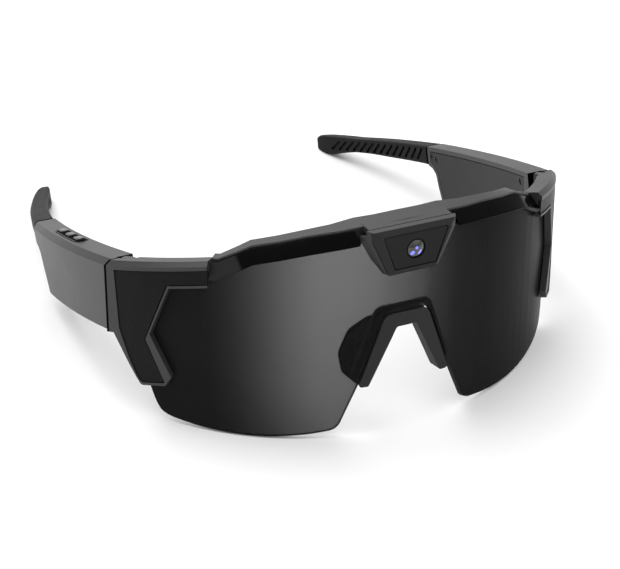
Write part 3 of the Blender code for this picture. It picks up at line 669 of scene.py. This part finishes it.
def buildBezel():
    shape = nodeShape("camera_bezel")
    softenEdges(shape, cameraBlock["edge"] * mm, 3)
    back = frontAxes.inverted()
    bmesh.ops.transform(shape, matrix=back, verts=shape.verts)
    cuts = [cameraBlock["seamFrom"] + cameraBlock["seamWidth"] * step / 2 for step in range(3)]
    for depth in cuts:
        geometry = shape.verts[:] + shape.edges[:] + shape.faces[:]
        bmesh.ops.bisect_plane(shape, geom=geometry, plane_co=(0, depth * mm, 0),
                               plane_no=(0, 1, 0), dist=0.000001)
    middle = Vector((0, 0, cameraBlock["middle"] * mm))
    for vert in shape.verts:
        away = Vector((vert.co.x, 0, vert.co.z)) - middle
        outside = vert.normal.dot(away) > 0
        low = vert.co.z < cameraBlock["seamTop"] * mm
        if outside and low and abs(vert.co.y - cuts[1] * mm) < 0.00001:
            vert.co -= away.normalized() * cameraBlock["seamDepth"] * mm
    shape.normal_update()
    # the rear body behind the seam is satin; the ring's upward faces take the same lighter satin
    # as painted light on the tops, and the rest keeps the darker copy as painted shade
    for face in shape.faces:
        behind = face.calc_center_median().y > cuts[1] * mm
        if face.normal.z > 0.8 or behind:
            face.material_index = 1
    bmesh.ops.transform(shape, matrix=frontAxes, verts=shape.verts)
    placePiece("camera_bezel_soft", shape, bezelShadedFinish, "front", ["camera_bezel"],
               finishes["satin_plastic"])


def buildFaceplate():
    shape = nodeShape("camera_faceplate")
    softenEdges(shape, cameraBlock["plateEdge"] * mm)
    placePiece("camera_faceplate_soft", shape, faceplateFinish, "front",
               ["camera_faceplate"])


def capShape(centre, radius, rise, front, rings=24):
    # the front slice of a ball, closed behind, on the front's axes
    ball = (radius ** 2 + rise ** 2) / (2 * rise)
    shape = bmesh.new()
    bmesh.ops.create_uvsphere(shape, u_segments=40, v_segments=rings * 2, radius=ball * mm)
    turn = Matrix.Rotation(math.pi / 2, 4, "X")
    place = Vector((centre[0], front + ball, centre[1])) * mm
    bmesh.ops.transform(shape, matrix=Matrix.Translation(place) @ turn, verts=shape.verts)
    geometry = shape.verts[:] + shape.edges[:] + shape.faces[:]
    bmesh.ops.bisect_plane(shape, geom=geometry, plane_co=(0, (front + rise) * mm, 0),
                           plane_no=(0, 1, 0), clear_outer=True, dist=0.000001)
    rim = [edge for edge in shape.edges if edge.is_boundary]
    bmesh.ops.contextual_create(shape, geom=rim)
    bmesh.ops.recalc_face_normals(shape, faces=shape.faces)
    bmesh.ops.transform(shape, matrix=frontAxes, verts=shape.verts)
    return shape


def buildOptics():
    middle = (0.0, optics["height"])
    dome = capShape(middle, optics["domeRadius"], optics["domeRise"], optics["domeFront"])
    placePiece("camera_dome", dome, finishes["camera_glass"], "front",
               ["camera_glass"])


buildBezel()
buildFaceplate()
buildOptics()
print("camera block built")


tipRibs = {             # slanted grooves on the inner face of each rubber tip
    "count": 14,
    "first": 73.8,        # along the temple from the pin
    "pitch": 3.15,
    "width": 1.0,
    "depth": 0.8,
    "height": 5.1,
    "middle": -2.95,
    "slant": 36,
    "lean": 1.4,          # more slant for each rib further back
    "edge": 0.4,
    "seam": 0.25,         # how far the rubber stands back from the hard shell
    "band": {"left": 0.45, "right": 1.0},     # width of the band painted matt black beside the seam, as painted shade
}


def buildTip(side):
    name = "temple_tip_" + side
    flip = 1 if side == "left" else -1
    back = templeAxes[side].inverted()
    shape = nodeShape(name)
    bmesh.ops.transform(shape, matrix=back, verts=shape.verts)
    front = min(vert.co.y for vert in shape.verts)
    shiftFace(shape, front, front + tipRibs["seam"] * mm)
    bmesh.ops.transform(shape, matrix=templeAxes[side], verts=shape.verts)
    softenEdges(shape, tipRibs["edge"] * mm, 3)
    probe = bmesh.new()
    probe.from_mesh(nodes[name].data)
    bmesh.ops.transform(probe, matrix=back, verts=probe.verts)
    tree = BVHTree.FromBMesh(probe)
    probe.free()
    cutters = bmesh.new()
    for index in range(tipRibs["count"]):
        along = tipRibs["first"] + index * tipRibs["pitch"]
        start = Vector((-flip * 60 * mm, along * mm, tipRibs["middle"] * mm))
        place, normal = tree.ray_cast(start, Vector((flip, 0, 0)))[:2]
        made = bmesh.ops.create_cone(
            cutters, cap_ends=True, segments=16, radius1=tipRibs["width"] / 2 * mm,
            radius2=tipRibs["width"] / 2 * mm, depth=tipRibs["depth"] * 2 * mm)["verts"]
        quarter = Matrix.Rotation(math.pi / 2, 4, "Y") @ Matrix.Rotation(math.pi / 16, 4, "Z")
        bmesh.ops.transform(cutters, matrix=quarter, verts=made)
        for vert in made:
            half = (tipRibs["height"] - tipRibs["width"]) / 2 * mm
            vert.co.z += math.copysign(half, vert.co.z)
        slant = Matrix.Rotation(
            math.radians(tipRibs["slant"] + index * tipRibs["lean"]), 4, "X")
        inward = normal * -flip
        swing = Matrix.Rotation(math.atan2(inward.y, inward.x), 4, "Z")
        bmesh.ops.transform(cutters, matrix=Matrix.Translation(place) @ swing @ slant, verts=made)
    bmesh.ops.transform(cutters, matrix=templeAxes[side], verts=cutters.verts)
    cutMesh = bpy.data.meshes.new("cutters")
    cutters.to_mesh(cutMesh)
    cutters.free()
    cutter = bpy.data.objects.new("cutters", cutMesh)
    body = bpy.data.meshes.new(name)
    shape.to_mesh(body)
    shape.free()
    blank = bpy.data.objects.new("blank", body)
    for thing in (cutter, blank):
        bpy.context.scene.collection.objects.link(thing)
    step = blank.modifiers.new("grooves", "BOOLEAN")
    step.operation = "DIFFERENCE"
    step.solver = "EXACT"
    step.object = cutter
    bpy.context.view_layer.update()
    done = blank.evaluated_get(bpy.context.evaluated_depsgraph_get())
    grooved = bmesh.new()
    grooved.from_mesh(done.to_mesh())
    done.to_mesh_clear()
    for thing in (cutter, blank):
        bpy.data.objects.remove(thing)
    paintSeamShade(grooved, templeAxes[side], front / mm + tipRibs["seam"]
           + tipRibs["band"][side], -1)
    placePiece(name + "_ribbed", grooved, finishes["rubber"], side + "_temple", [name],
               seamShadePaint)


for side in ("left", "right"):
    buildTip(side)
print("tips grooved")
